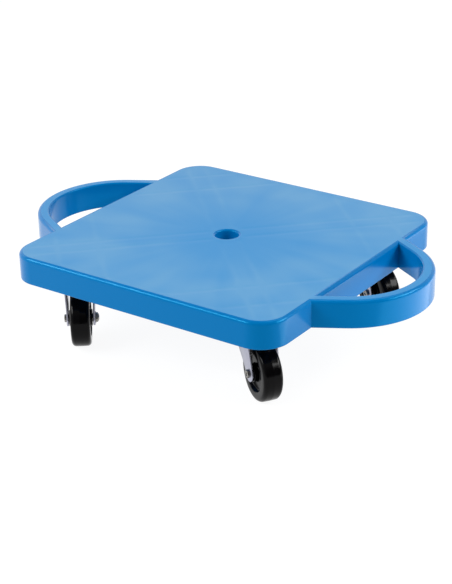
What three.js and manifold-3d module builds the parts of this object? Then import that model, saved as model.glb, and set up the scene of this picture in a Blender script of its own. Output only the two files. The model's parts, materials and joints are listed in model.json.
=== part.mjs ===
// A moulded scooter board: one square deck with two hand grips, carried on four swivel casters.
// Millimetres, +Z up, floor at zero. X runs through the grips, and the origin is under the deck's middle.
import * as THREE from 'three';
import { mergeVertices } from 'three/addons/utils/BufferGeometryUtils.js';
import Module from 'manifold-3d';

const wasm = await Module();
wasm.setup();

// Clearances
const fit = 0.3;
const runningFit = 0.5;
const overrun = 6;

// Deck
const deckSide = 406;
const deckCornerRadius = 38;
const skirtDepth = 36;
const edgeFillet = 5;
const topWall = 4;
const skirtWall = 4;
const seatDepth = 31.5;
const ribWall = 3;
const diagonalRibGap = 26;
const crossRibSpacing = 53;
const centreHoleRadius = 16;
const centreHoleRim = 3;
const centreTubeWall = 3.5;
const screwBossRadius = 6;

// Grips
const gripReach = 90;
const gripWidth = 16;
const gripArcRadius = 109;
const gripArcAngle = THREE.MathUtils.degToRad(60);
const gripWall = 3.5;
const gripRibWall = 2.5;
const gripInnerFillet = 2;
const gripRibShares = [-0.75, -0.25, 0.25, 0.75];

// Casters
const casterInset = 64.5;
const trail = 21.5;
const wheelHeadroom = 1.5;
const swivelAngles = {
  front_left: THREE.MathUtils.degToRad(-52),
  front_right: THREE.MathUtils.degToRad(-33.5),
  rear_right: THREE.MathUtils.degToRad(-29),
  rear_left: THREE.MathUtils.degToRad(-41),
};

// Caster plate
const plateEndMargin = 7.5;
const plateSideMargin = 10;
const plateThickness = 2.5;
const plateCornerRadius = 5;
const raceLipWall = 1.5;
const raceLipDepth = 3.5;

// Ball races
const ballRadius = 2.5;
const ballSpacing = 11;
const retainerThickness = 1;
const retainerWidth = 3;
const upperPitchRadius = 17;
const lowerPitchRadius = 12;
const cupThickness = 2;
const cupLipWall = 1.3;
const cupLipHeight = 3;

// Kingpin
const kingpinRadius = 6;
const kingpinHeadRadius = 9;
const kingpinHeadHeight = 2.2;

// Fork
const forkSheet = 2.5;
const crownRim = 1;
const cupClearance = 1.7;
const legHalfWidth = 22;
const legCornerRadius = 3;
const hubClearance = 1;
const legTipRadius = 10.5;
const legShoulderDrop = 12;
const legBendHeight = 12;

// Wheel
const wheelRadius = 37.5;
const treadWidth = 25.4;
const shoulderRadius = 5.5;
const webRadius = 22.5;
const webDepth = 4.5;
const hubRadius = 11;
const hubProud = 2.3;

// Axle
const sleeveRadius = 5.5;
const boltRadius = 3.2;
const boltHeadFlats = 9;
const boltHeadHeight = 2.8;
const nutFlats = 11;
const nutHeight = 3.2;
const nutFlangeRadius = 7.8;
const nutFlangeThickness = 1.2;
const boltEnd = 0.4;

// Plate screws
const screwRadius = 2.3;
const screwLength = 18;
const screwTip = 3;
const screwHeadRadius = 4.75;
const screwHeadHeight = 2.8;
const screwHeadTopShare = 0.7;

// Facet counts
const filletSteps = 3;
const deckCornerSteps = 8;
const gripSteps = 18;
const holeSides = 24;
const bossSides = 8;
const wheelSides = 32;
const shoulderSteps = 3;
const raceSides = 20;
const pinSides = 12;
const smallSides = 8;
const ballSides = 6;
const tipSteps = 3;

// Derived heights inside a caster, from its plate's top face down
const upperBallZ = -plateThickness - fit - ballRadius;
const crownTopZ = upperBallZ - ballRadius - fit;
const crownBottomZ = crownTopZ - forkSheet;
const lowerBallZ = crownBottomZ - fit - ballRadius;
const cupTopZ = lowerBallZ - ballRadius - fit;
const cupBottomZ = cupTopZ - cupThickness;
const kingpinBottomZ = cupBottomZ - fit - kingpinHeadHeight;
const axleZ = kingpinBottomZ - wheelHeadroom - wheelRadius;

// Derived heights, from the floor up; a wheel stands on one flat of its rim
const wheelFlat = wheelRadius * Math.cos(Math.PI / wheelSides);
const casterHeight = wheelFlat - axleZ;
const deckTop = casterHeight + seatDepth;
const skirtBottom = deckTop - skirtDepth;
const deckUnderside = deckTop - topWall;
const plateSeat = casterHeight + fit;

// Derived places
const deckHalf = deckSide / 2;
const casterPlace = deckHalf - casterInset;
const gripTip = deckHalf + gripReach;
const gripCentre = gripTip - gripArcRadius;

// Derived widths across a caster
const plateLength = crossRibSpacing + 2 * plateEndMargin;
const plateWidth = diagonalRibGap + 2 * plateSideMargin;
const raceLipInner = upperPitchRadius + ballRadius + runningFit;
const crownRadius = upperPitchRadius + ballRadius + crownRim;
const cupLipInner = lowerPitchRadius + ballRadius + runningFit;
const cupLipOuter = cupLipInner + cupLipWall;
const crownOuter = cupLipOuter + cupClearance + forkSheet;
const hubLength = treadWidth + 2 * hubProud;
const legInner = hubLength / 2 + hubClearance;
const legOuter = legInner + forkSheet;

const materials = {
  plastic: new THREE.MeshStandardMaterial({ color: '#2f8fd6', roughness: 0.35, metalness: 0 }),
  zinc: new THREE.MeshStandardMaterial({ color: '#c9ccd2', roughness: 0.3, metalness: 1 }),
  steel: new THREE.MeshStandardMaterial({ color: '#8d9096', roughness: 0.4, metalness: 1 }),
  rubber: new THREE.MeshStandardMaterial({ color: '#141416', roughness: 0.35, metalness: 0 }),
};

// Solids from geometries and back

function solidOf(geometry) {
  const bare = geometry.clone();
  bare.deleteAttribute('normal');
  bare.deleteAttribute('uv');
  const merged = mergeVertices(bare);
  return new wasm.Manifold(new wasm.Mesh({
    numProp: 3,
    vertProperties: new Float32Array(merged.attributes.position.array),
    triVerts: new Uint32Array(merged.index.array),
  }));
}

function geometryOf(solid) {
  const mesh = solid.getMesh();
  const geometry = new THREE.BufferGeometry();
  geometry.setAttribute('position', new THREE.BufferAttribute(new Float32Array(mesh.vertProperties), 3));
  geometry.setIndex(new THREE.BufferAttribute(new Uint32Array(mesh.triVerts), 1));
  geometry.computeVertexNormals();
  return geometry;
}

function joined(solids) {
  return solids.reduce((whole, solid) => whole.add(solid));
}

// Outlines, anticlockwise seen from above

function circle(radius, sides, x = 0, y = 0) {
  const points = [];
  for (let i = 0; i < sides; i++) {
    const angle = (i / sides) * 2 * Math.PI;
    points.push(new THREE.Vector2(x + radius * Math.cos(angle), y + radius * Math.sin(angle)));
  }
  return points;
}

function roundedBox(halfX, halfY, radius, steps) {
  const corners = [[1, 1], [-1, 1], [-1, -1], [1, -1]];
  const points = [];
  corners.forEach(([signX, signY], quarter) => {
    for (let i = 0; i <= steps; i++) {
      const angle = (quarter + i / steps) * Math.PI / 2;
      points.push(new THREE.Vector2(
        signX * (halfX - radius) + radius * Math.cos(angle),
        signY * (halfY - radius) + radius * Math.sin(angle),
      ));
    }
  });
  return points;
}

// One line of the grip at a distance inside its outer face, from its front root to its rear root
function gripLine(inset, rootX) {
  const radius = gripArcRadius - inset;
  const endX = gripCentre + radius * Math.cos(gripArcAngle);
  const endY = radius * Math.sin(gripArcAngle);
  const rootY = endY + (endX - rootX) / Math.tan(gripArcAngle);
  const points = [new THREE.Vector2(rootX, -rootY)];
  for (let i = 0; i <= gripSteps; i++) {
    const angle = (2 * i / gripSteps - 1) * gripArcAngle;
    points.push(new THREE.Vector2(gripCentre + radius * Math.cos(angle), radius * Math.sin(angle)));
  }
  points.push(new THREE.Vector2(rootX, rootY));
  return points;
}

function gripBand(outerInset, innerInset, rootX) {
  return [...gripLine(outerInset, rootX), ...gripLine(innerInset, rootX).reverse()];
}

// A closed body through outlines of equal point counts, each at its own height
function loft(levels) {
  const count = levels[0].outline.length;
  const positions = levels.flatMap(({ outline, z }) => outline.flatMap((point) => [point.x, point.y, z]));
  const indices = [];
  for (let level = 0; level + 1 < levels.length; level++) {
    for (let i = 0; i < count; i++) {
      const a = level * count + i;
      const b = level * count + (i + 1) % count;
      indices.push(a, b, b + count, a, b + count, a + count);
    }
  }
  const top = (levels.length - 1) * count;
  const faces = THREE.ShapeUtils.triangulateShape(levels[0].outline, []);
  faces.forEach(([a, b, c]) => indices.push(c, b, a));
  const topFaces = THREE.ShapeUtils.triangulateShape(levels[levels.length - 1].outline, []);
  topFaces.forEach(([a, b, c]) => indices.push(top + a, top + b, top + c));
  const geometry = new THREE.BufferGeometry();
  geometry.setAttribute('position', new THREE.Float32BufferAttribute(positions, 3));
  geometry.setIndex(indices);
  return geometry;
}

function prism(outline, bottom, top) {
  return solidOf(loft([{ outline, z: bottom }, { outline, z: top }]));
}

// Heights and insets of a wall whose top edge is rounded
function filletLevels(bottom, top, radius) {
  const levels = [{ z: bottom, inset: 0 }];
  for (let i = 0; i <= filletSteps; i++) {
    const angle = (i / filletSteps) * Math.PI / 2;
    levels.push({ z: top - radius * (1 - Math.sin(angle)), inset: radius * (1 - Math.cos(angle)) });
  }
  return levels;
}

// A body turned about Z, from pairs of radius and height that close on themselves or on the axis
function turned(profile, sides) {
  const points = profile.map(([radius, height]) => new THREE.Vector2(radius, height));
  return new THREE.LatheGeometry(points, sides).rotateX(Math.PI / 2);
}

function tube(inner, outer, bottom, top, sides) {
  return turned([[inner, bottom], [outer, bottom], [outer, top], [inner, top], [inner, bottom]], sides);
}

function rod(radius, bottom, top, sides) {
  return turned([[0, bottom], [radius, bottom], [radius, top], [0, top]], sides);
}

// Deck

function deckBody() {
  const levels = filletLevels(skirtBottom, deckTop, edgeFillet).map(({ z, inset }) => ({
    z,
    outline: roundedBox(deckHalf - inset, deckHalf - inset, deckCornerRadius - inset, deckCornerSteps),
  }));
  return solidOf(loft(levels));
}

function gripBody() {
  const rootX = deckHalf - edgeFillet - skirtWall;
  const inner = filletLevels(skirtBottom, deckTop, gripInnerFillet);
  const levels = filletLevels(skirtBottom, deckTop, edgeFillet).map(({ z, inset }, i) => ({
    z,
    outline: gripBand(inset, gripWidth - inner[i].inset, rootX),
  }));
  return solidOf(loft(levels));
}

// The hollow under a grip, crossed by short stiffening ribs
function gripHollow() {
  const band = gripBand(gripWall, gripWidth - gripWall, deckHalf);
  const ribs = gripRibShares.map((share) => {
    const angle = share * gripArcAngle;
    const rib = new THREE.BoxGeometry(gripWidth, gripRibWall, skirtDepth)
      .translate(gripArcRadius - gripWidth / 2, 0, skirtBottom + skirtDepth / 2)
      .rotateZ(angle)
      .translate(gripCentre, 0, 0);
    return solidOf(rib);
  });
  return prism(band, skirtBottom - overrun, deckUnderside).subtract(joined(ribs));
}

function mirrored(solid) {
  return solid.rotate([0, 0, 180]);
}

// Places of the four plate screws about a caster's pivot, with X along the deck's diagonal
function screwPlaces() {
  const x = crossRibSpacing / 2;
  const y = diagonalRibGap / 2;
  return [[x, y], [-x, y], [-x, -y], [x, -y]];
}

function cornerRibs(quarter) {
  const height = deckUnderside - plateSeat + topWall / 2;
  const z = plateSeat + height / 2;
  const pivot = casterPlace * Math.SQRT2;
  const solids = [];
  for (const side of [-1, 1]) {
    const along = new THREE.BoxGeometry(deckSide, ribWall, height);
    solids.push(solidOf(along.translate(deckSide / 2, side * diagonalRibGap / 2, z)));
    const across = new THREE.BoxGeometry(ribWall, deckSide, height);
    solids.push(solidOf(across.translate(pivot + side * crossRibSpacing / 2, 0, z)));
  }
  for (const [x, y] of screwPlaces()) {
    solids.push(prism(circle(screwBossRadius, bossSides, pivot + x, y), plateSeat, plateSeat + height));
  }
  return joined(solids).rotate([0, 0, 45 + 90 * quarter]);
}

function screwHoles(quarter) {
  const pivot = casterPlace * Math.SQRT2;
  const depth = plateSeat + screwLength + fit;
  const holes = screwPlaces().map(([x, y]) => (
    prism(circle(screwRadius + fit, smallSides, pivot + x, y), plateSeat - overrun, depth)
  ));
  return joined(holes).rotate([0, 0, 45 + 90 * quarter]);
}

function centreHole() {
  const profile = [[0, skirtBottom - overrun], [centreHoleRadius, skirtBottom - overrun]];
  for (let i = 0; i <= filletSteps; i++) {
    const angle = (i / filletSteps) * Math.PI / 2;
    profile.push([
      centreHoleRadius + centreHoleRim * (1 - Math.cos(angle)),
      deckTop - centreHoleRim * (1 - Math.sin(angle)),
    ]);
  }
  profile.push([centreHoleRadius + centreHoleRim, deckTop + overrun], [0, deckTop + overrun]);
  return solidOf(turned(profile, holeSides));
}

function deck() {
  const quarters = [0, 1, 2, 3];
  const grip = gripBody();
  const hollow = gripHollow();
  const innerHalf = deckHalf - skirtWall;
  const cavityOutline = roundedBox(innerHalf, innerHalf, deckCornerRadius - skirtWall, deckCornerSteps);
  const centreTube = prism(circle(centreHoleRadius + centreTubeWall, holeSides), plateSeat, deckTop);
  const cavity = prism(cavityOutline, skirtBottom - overrun, deckUnderside)
    .subtract(joined(quarters.map(cornerRibs)))
    .subtract(centreTube);
  const body = deckBody().add(grip).add(mirrored(grip))
    .subtract(cavity)
    .subtract(hollow)
    .subtract(mirrored(hollow))
    .subtract(joined(quarters.map(screwHoles)))
    .subtract(centreHole());
  return geometryOf(body);
}

// Caster pieces, about the pivot, with Z down from the plate's top face

function plate() {
  const shape = new THREE.Shape(roundedBox(plateLength / 2, plateWidth / 2, plateCornerRadius, filletSteps));
  shape.holes.push(new THREE.Path(circle(kingpinRadius + fit, pinSides).reverse()));
  for (const [x, y] of screwPlaces()) {
    shape.holes.push(new THREE.Path(circle(screwRadius + fit, smallSides, x, y).reverse()));
  }
  const sheet = new THREE.ExtrudeGeometry(shape, { depth: plateThickness, bevelEnabled: false });
  sheet.translate(0, 0, -plateThickness);
  const lipBottom = -plateThickness - raceLipDepth;
  const lip = tube(raceLipInner, raceLipInner + raceLipWall, lipBottom, -plateThickness / 2, raceSides);
  return geometryOf(solidOf(sheet).add(solidOf(lip)));
}

// Balls held in one thin retainer: a closed loop of sections that swells at each ball
function ballRing(pitchRadius, z) {
  const count = Math.floor(2 * Math.PI * pitchRadius / ballSpacing);
  const halfTurn = ballRadius / pitchRadius;
  const sections = [];
  for (let i = 0; i < count; i++) {
    const angle = (i / count) * 2 * Math.PI;
    sections.push({ angle: angle - halfTurn, width: retainerWidth / 2, height: retainerThickness / 2 });
    sections.push({ angle, width: ballRadius, height: ballRadius });
    sections.push({ angle: angle + halfTurn, width: retainerWidth / 2, height: retainerThickness / 2 });
  }
  const positions = sections.flatMap(({ angle, width, height }) => (
    circle(1, ballSides).flatMap((corner) => {
      const radius = pitchRadius + width * corner.x;
      return [radius * Math.cos(angle), radius * Math.sin(angle), z + height * corner.y];
    })
  ));
  const indices = [];
  for (let i = 0; i < sections.length; i++) {
    for (let j = 0; j < ballSides; j++) {
      const next = (i + 1) % sections.length;
      const a = i * ballSides + j;
      const b = next * ballSides + j;
      const c = next * ballSides + (j + 1) % ballSides;
      const d = i * ballSides + (j + 1) % ballSides;
      indices.push(a, b, c, a, c, d);
    }
  }
  const geometry = new THREE.BufferGeometry();
  geometry.setAttribute('position', new THREE.Float32BufferAttribute(positions, 3));
  geometry.setIndex(indices);
  return geometry;
}

function raceCup() {
  const bore = kingpinRadius + fit;
  const lipTop = cupTopZ + cupLipHeight;
  return turned([
    [bore, cupBottomZ], [cupLipOuter, cupBottomZ], [cupLipOuter, lipTop], [cupLipInner, lipTop],
    [cupLipInner, cupTopZ], [bore, cupTopZ], [bore, cupBottomZ],
  ], raceSides);
}

function kingpin() {
  const neck = kingpinBottomZ + kingpinHeadHeight;
  return turned([
    [0, kingpinBottomZ], [kingpinRadius, kingpinBottomZ],
    [kingpinHeadRadius, neck], [kingpinRadius, neck], [kingpinRadius, fit], [kingpinHeadRadius, fit],
    [kingpinRadius, fit + kingpinHeadHeight], [0, fit + kingpinHeadHeight],
  ], pinSides);
}

function plateScrew(x, y) {
  const headTop = -plateThickness - fit;
  return turned([
    [0, headTop - screwHeadHeight], [screwHeadRadius * screwHeadTopShare, headTop - screwHeadHeight],
    [screwHeadRadius, headTop], [screwRadius, headTop], [screwRadius, screwLength - screwTip],
    [0, screwLength],
  ], smallSides).translate(x, y, 0);
}

// One fork leg as rectangles stacked up its height; side is the leg's sign along Y
function forkLeg(side) {
  const levels = [];
  const addLevel = (z, back, front, outer) => {
    const near = side * (outer - forkSheet);
    const far = side * outer;
    const low = Math.min(near, far);
    const high = Math.max(near, far);
    levels.push({ z, outline: [[back, low], [front, low], [front, high], [back, high]]
      .map(([x, y]) => new THREE.Vector2(x, y)) });
  };
  for (let i = 1; i <= tipSteps; i++) {
    const angle = (i / tipSteps) * Math.PI / 2;
    const half = legTipRadius * Math.sin(angle);
    addLevel(axleZ - legTipRadius * Math.cos(angle), trail - half, trail + half, legOuter);
  }
  const bendZ = axleZ + legBendHeight;
  const shoulderZ = crownBottomZ - legShoulderDrop;
  const bendShare = legBendHeight / (shoulderZ - axleZ);
  const back = THREE.MathUtils.lerp(trail - legTipRadius, -legHalfWidth, bendShare);
  const front = THREE.MathUtils.lerp(trail + legTipRadius, legHalfWidth, bendShare);
  addLevel(bendZ, back, front, legOuter);
  const shoulderShare = (shoulderZ - bendZ) / (crownBottomZ - bendZ);
  const shoulderOuter = THREE.MathUtils.lerp(legOuter, crownOuter, shoulderShare);
  addLevel(shoulderZ, -legHalfWidth, legHalfWidth, shoulderOuter);
  addLevel(crownBottomZ, -legHalfWidth, legHalfWidth, crownOuter);
  addLevel(crownTopZ - forkSheet / 2, -legHalfWidth, legHalfWidth, crownOuter);
  return solidOf(loft(levels));
}

function fork() {
  const sides = roundedBox(legHalfWidth, crownOuter, legCornerRadius, filletSteps);
  const crown = prism(sides, crownBottomZ, crownTopZ)
    .add(prism(circle(crownRadius, raceSides), crownBottomZ, crownTopZ));
  const pivotRadius = kingpinRadius + runningFit;
  const pivotHole = solidOf(rod(pivotRadius, crownBottomZ - overrun, crownTopZ + overrun, pinSides));
  const axleHole = solidOf(rod(boltRadius + fit, -legOuter - overrun, legOuter + overrun, pinSides)
    .rotateX(Math.PI / 2)
    .translate(trail, 0, axleZ));
  return geometryOf(crown.add(forkLeg(-1)).add(forkLeg(1)).subtract(pivotHole).subtract(axleHole));
}

// Pieces on the axle, about the wheel's centre, with the axle along Y

function alongAxle(geometry) {
  return geometry.rotateX(-Math.PI / 2);
}

function wheel() {
  const bore = sleeveRadius + fit;
  const half = treadWidth / 2;
  const web = half - webDepth;
  const side = [[bore, -hubLength / 2], [hubRadius, -hubLength / 2], [hubRadius, -web], [webRadius, -web]];
  side.push([webRadius + webDepth / 2, -half]);
  for (let i = 0; i <= shoulderSteps; i++) {
    const angle = (i / shoulderSteps) * Math.PI / 2;
    const radius = wheelRadius - shoulderRadius * (1 - Math.sin(angle));
    side.push([radius, -half + shoulderRadius * (1 - Math.cos(angle))]);
  }
  const otherSide = side.map(([radius, y]) => [radius, -y]).reverse();
  const points = [...side, ...otherSide, side[0]].map(([radius, y]) => new THREE.Vector2(radius, y));
  return new THREE.LatheGeometry(points, wheelSides, Math.PI / wheelSides);
}

function axleSleeve() {
  const half = legInner - fit;
  return alongAxle(tube(boltRadius + fit, sleeveRadius, -half, half, pinSides));
}

function hexagon(flats) {
  return circle(flats / 2 / Math.cos(Math.PI / 6), 6);
}

function axleBolt() {
  const headFace = -legOuter - fit;
  const end = legOuter + fit + nutFlangeThickness + nutHeight + boltEnd;
  const head = prism(hexagon(boltHeadFlats), headFace - boltHeadHeight, headFace);
  const shank = solidOf(rod(boltRadius, headFace - boltHeadHeight / 2, end, pinSides));
  return alongAxle(geometryOf(head.add(shank)));
}

function axleNut() {
  const face = legOuter + fit;
  const hexStart = face + nutFlangeThickness;
  const flange = solidOf(rod(nutFlangeRadius, face, hexStart, raceSides));
  const body = prism(hexagon(nutFlats), face + nutFlangeThickness / 2, hexStart + nutHeight);
  const bore = solidOf(rod(boltRadius + fit, face - overrun, hexStart + nutHeight + overrun, pinSides));
  return alongAxle(geometryOf(flange.add(body).subtract(bore)));
}

// Assembly

const board = new THREE.Group();

function addMesh(parent, name, geometry, material) {
  const mesh = new THREE.Mesh(geometry, material);
  mesh.name = name;
  parent.add(mesh);
}

function caster(name, signX, signY) {
  const pivot = new THREE.Group();
  pivot.position.set(signX * casterPlace, signY * casterPlace, casterHeight);
  board.add(pivot);

  const fixed = new THREE.Group();
  fixed.rotation.z = Math.atan2(signY, signX);
  pivot.add(fixed);
  addMesh(fixed, `${name}_plate`, plate(), materials.zinc);
  addMesh(fixed, `${name}_kingpin`, kingpin(), materials.steel);
  addMesh(fixed, `${name}_race_cup`, raceCup(), materials.zinc);
  screwPlaces().forEach(([x, y], i) => {
    addMesh(fixed, `${name}_screw_${i + 1}`, plateScrew(x, y), materials.steel);
  });

  const swivel = new THREE.Group();
  swivel.rotation.z = swivelAngles[name];
  pivot.add(swivel);
  addMesh(swivel, `${name}_upper_balls`, ballRing(upperPitchRadius, upperBallZ), materials.steel);
  addMesh(swivel, `${name}_lower_balls`, ballRing(lowerPitchRadius, lowerBallZ), materials.steel);
  addMesh(swivel, `${name}_fork`, fork(), materials.zinc);

  const axle = new THREE.Group();
  axle.position.set(trail, 0, axleZ);
  swivel.add(axle);
  addMesh(axle, `${name}_wheel`, wheel(), materials.rubber);
  addMesh(axle, `${name}_axle_sleeve`, axleSleeve(), materials.steel);
  addMesh(axle, `${name}_axle_bolt`, axleBolt(), materials.zinc);
  addMesh(axle, `${name}_axle_nut`, axleNut(), materials.zinc);
}

addMesh(board, 'deck', deck(), materials.plastic);
caster('front_left', -1, -1);
caster('front_right', 1, -1);
caster('rear_right', 1, 1);
caster('rear_left', -1, 1);

export default board;
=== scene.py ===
# A moulded scooter board: one deck with two hand grips on four swivel casters
import json
import math
from types import SimpleNamespace
import bmesh
import bpy
import numpy as np
from mathutils import Matrix, Vector, noise
from mathutils.geometry import delaunay_2d_cdt


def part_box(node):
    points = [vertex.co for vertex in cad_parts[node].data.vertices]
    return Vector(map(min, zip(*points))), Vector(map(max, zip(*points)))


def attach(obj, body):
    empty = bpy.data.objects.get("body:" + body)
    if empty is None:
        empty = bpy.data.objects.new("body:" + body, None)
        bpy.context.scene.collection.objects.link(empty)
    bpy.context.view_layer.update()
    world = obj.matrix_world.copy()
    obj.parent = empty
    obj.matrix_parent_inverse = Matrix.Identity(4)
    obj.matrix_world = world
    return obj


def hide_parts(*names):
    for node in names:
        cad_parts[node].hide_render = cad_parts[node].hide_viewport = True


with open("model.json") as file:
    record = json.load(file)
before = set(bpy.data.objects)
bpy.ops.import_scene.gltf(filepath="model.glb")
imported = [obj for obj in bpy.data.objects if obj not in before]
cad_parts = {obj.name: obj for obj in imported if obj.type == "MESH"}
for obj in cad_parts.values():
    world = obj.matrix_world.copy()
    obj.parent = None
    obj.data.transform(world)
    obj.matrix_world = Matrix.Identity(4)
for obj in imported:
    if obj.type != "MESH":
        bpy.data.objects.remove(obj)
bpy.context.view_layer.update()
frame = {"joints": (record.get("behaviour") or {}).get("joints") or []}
scene = bpy.context.scene

# The dictionaries hold millimetres, and degrees, pixels, colours or brightness where a key says so
mm = 0.001


def inMetres(sizes):
    return SimpleNamespace(**{name: value * mm for name, value in sizes.items()})


# Places that come from the frame
deckLow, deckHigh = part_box("deck")
deckTop, skirtBottom = deckHigh.z, deckLow.z
deckHalf, gripTip = deckHigh.y, deckHigh.x
jointPlaces = {joint["name"]: Vector(joint["pos_m"]) for joint in frame["joints"]}


def casterPlace(name):
    # A caster's pivot and the middle of its axle
    return jointPlaces[name + "_swivel"], jointPlaces[name + "_roll"]


casterNames = ["front_left", "front_right", "rear_right", "rear_left"]
rearPivot, rearAxle = casterPlace("rear_right")
diagonalPivot = rearPivot.x * math.sqrt(2)
plateTop, axleHeight = rearPivot.z, rearAxle.z
axleDrop = axleHeight - plateTop
trail = (rearAxle - rearPivot).xy.length


# Mesh code: a shape is a pair of lists, its points and its faces

drillReach = 40 * mm


def skin(count, levels):
    # The faces over rings of points that lie one after another, closed at both ends
    faces = [tuple(reversed(range(count)))]
    for level in range(levels - 1):
        for i in range(count):
            a, b = level * count + i, level * count + (i + 1) % count
            faces.append((a, b, b + count, a + count))
    return faces + [tuple(range((levels - 1) * count, levels * count))]


def loft(levels):
    points = [(x, y, z) for outline, z in levels for x, y in outline]
    return points, skin(len(levels[0][0]), len(levels))


def circle(radius, sides):
    turns = [2 * math.pi * i / sides for i in range(sides)]
    return [(radius * math.cos(turn), radius * math.sin(turn)) for turn in turns]


def lathe(profile, segments):
    # A closed ring where the profile keeps off the axis, and a solid where it starts and ends on it
    points, rings, faces = [], [], []
    for radius, height in profile:
        if radius == 0:
            rings.append([len(points)] * segments)
            points.append((0, 0, height))
            continue
        rings.append([len(points) + i for i in range(segments)])
        points += [(x, y, height) for x, y in circle(radius, segments)]
    pairs = list(zip(rings, rings[1:]))
    if profile[0][0] > 0:
        pairs.append((rings[-1], rings[0]))
    for low, high in pairs:
        for i in range(segments):
            j = (i + 1) % segments
            face = dict.fromkeys((low[i], low[j], high[j], high[i]))
            if len(face) > 2:
                faces.append(tuple(face))
    return points, faces


def windRod(reach, pitch, start, end, sides, turnSteps=6):
    # A rod whose radius winds with its thread, where reach gives it for a height and a share of a turn
    count = round((end - start) / pitch * turnSteps)
    points = []
    for k in range(count + 1):
        z = start + (end - start) * k / count
        for i in range(sides):
            angle = 2 * math.pi * i / sides
            radius = reach(z, (z / pitch - i / sides) % 1)
            points.append((radius * math.cos(angle), radius * math.sin(angle), z))
    return points, skin(sides, count + 1)


def joined(shapes):
    points, faces = [], []
    for shapePoints, shapeFaces in shapes:
        start = len(points)
        points += shapePoints
        faces += [tuple(start + i for i in face) for face in shapeFaces]
    return points, faces


def moved(shape, matrix):
    return [tuple(matrix @ Vector(point)) for point in shape[0]], shape[1]


def aboutZ(angle):
    return Matrix.Rotation(angle, 4, "Z")


def roundCorners(corners, steps=4):
    # Each corner is x, y and the radius that rounds it
    outline = []
    for i, (x, y, radius) in enumerate(corners):
        if radius == 0:
            outline.append((x, y))
            continue
        here = Vector((x, y))
        back = (Vector(corners[i - 1][:2]) - here).normalized()
        ahead = (Vector(corners[(i + 1) % len(corners)][:2]) - here).normalized()
        half = back.angle(ahead) / 2
        centre = here + (back + ahead).normalized() * (radius / math.sin(half))
        start = here + back * (radius / math.tan(half)) - centre
        end = here + ahead * (radius / math.tan(half)) - centre
        first = math.atan2(start.y, start.x)
        sweep = (math.atan2(end.y, end.x) - first + math.pi) % (2 * math.pi) - math.pi
        for k in range(steps + 1):
            angle = first + sweep * k / steps
            outline.append((centre.x + radius * math.cos(angle), centre.y + radius * math.sin(angle)))
    return outline


def mirrored(side):
    # A profile along the axis, made whole by its own reflection
    return side + [(radius, -y) for radius, y in side[::-1]]


def quarterArc(steps):
    return [i / steps * math.pi / 2 for i in range(steps + 1)]


def roundedEdge(radius, steps):
    # How far each step of a rounded edge lies back from its face and up from its foot
    return [(radius * (1 - math.sin(angle)), radius * (1 - math.cos(angle))) for angle in quarterArc(steps)]


def cornersOf(x, y):
    return [(x, y), (-x, y), (-x, -y), (x, -y)]


def roundedBlank(x, y, radius, steps):
    return roundCorners([(*corner, radius) for corner in cornersOf(x, y)], steps)


def turned(radius, low, high, segments, lowRound=0, highRound=0):
    # A solid of one radius about the axis, from one height to another
    return lathe(roundCorners([
        (0, low, 0), (radius, low, lowRound), (radius, high, highRound), (0, high, 0)]), segments)


def drill(radius, segments):
    return turned(radius, -drillReach, drillReach, segments)


def turnOutward(mesh):
    work = bmesh.new()
    work.from_mesh(mesh)
    bmesh.ops.recalc_face_normals(work, faces=work.faces)
    work.to_mesh(mesh)
    work.free()


def makeObject(shape, name="part"):
    mesh = bpy.data.meshes.new(name)
    mesh.from_pydata(shape[0], [], shape[1])
    turnOutward(mesh)
    thing = bpy.data.objects.new(name, mesh)
    scene.collection.objects.link(thing)
    return thing


def remove(thing):
    mesh = thing.data
    bpy.data.objects.remove(thing)
    bpy.data.meshes.remove(mesh)


def applyModifiers(thing):
    graph = bpy.context.evaluated_depsgraph_get()
    mesh = bpy.data.meshes.new_from_object(thing.evaluated_get(graph))
    old = thing.data
    thing.modifiers.clear()
    thing.data = mesh
    bpy.data.meshes.remove(old)
    mesh.name = thing.name


def combine(thing, tool, operation="DIFFERENCE"):
    # The tool is a shape or an object, and is used up
    if not isinstance(tool, bpy.types.Object):
        tool = makeObject(tool)
    modifier = thing.modifiers.new("combine", "BOOLEAN")
    modifier.solver = "MANIFOLD"
    modifier.operation = operation
    modifier.object = tool
    applyModifiers(thing)
    remove(tool)


def smooth(thing, angle=32):
    thing.data.shade_smooth()
    thing.data.set_sharp_from_angle(angle=math.radians(angle))
    return thing


def finishPiece(thing, body, slot, material, *nodes):
    thing.data.materials.clear()
    thing.data.materials.append(material)
    for face in thing.data.polygons:
        face.material_index = 0
    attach(thing, body)
    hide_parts(*nodes)
    return thing


# Material code

def hexColour(code):
    parts = [int(code[i:i + 2], 16) / 255 for i in (0, 2, 4)]
    linear = [part / 12.92 if part <= 0.04045 else ((part + 0.055) / 1.055) ** 2.4 for part in parts]
    return (*linear, 1)


def setInputs(node, inputs):
    # A node given as a value links from its first output, a socket from itself, and a list one by one
    for name, given in inputs.items():
        for value in given if isinstance(given, list) else [given]:
            if isinstance(value, bpy.types.Node):
                value = value.outputs[0]
            if isinstance(value, bpy.types.NodeSocket):
                node.id_data.links.new(value, node.inputs[name])
            else:
                node.inputs[name].default_value = value


def addNode(tree, kind, inputs=None, **settings):
    node = tree.nodes.new(kind)
    for name, value in settings.items():
        setattr(node, name, value)
    setInputs(node, inputs or {})
    return node


def startMaterial(name):
    material = bpy.data.materials.new(name)
    material.use_nodes = True
    tree = material.node_tree
    return material, tree, tree.nodes["Principled BSDF"]


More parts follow.
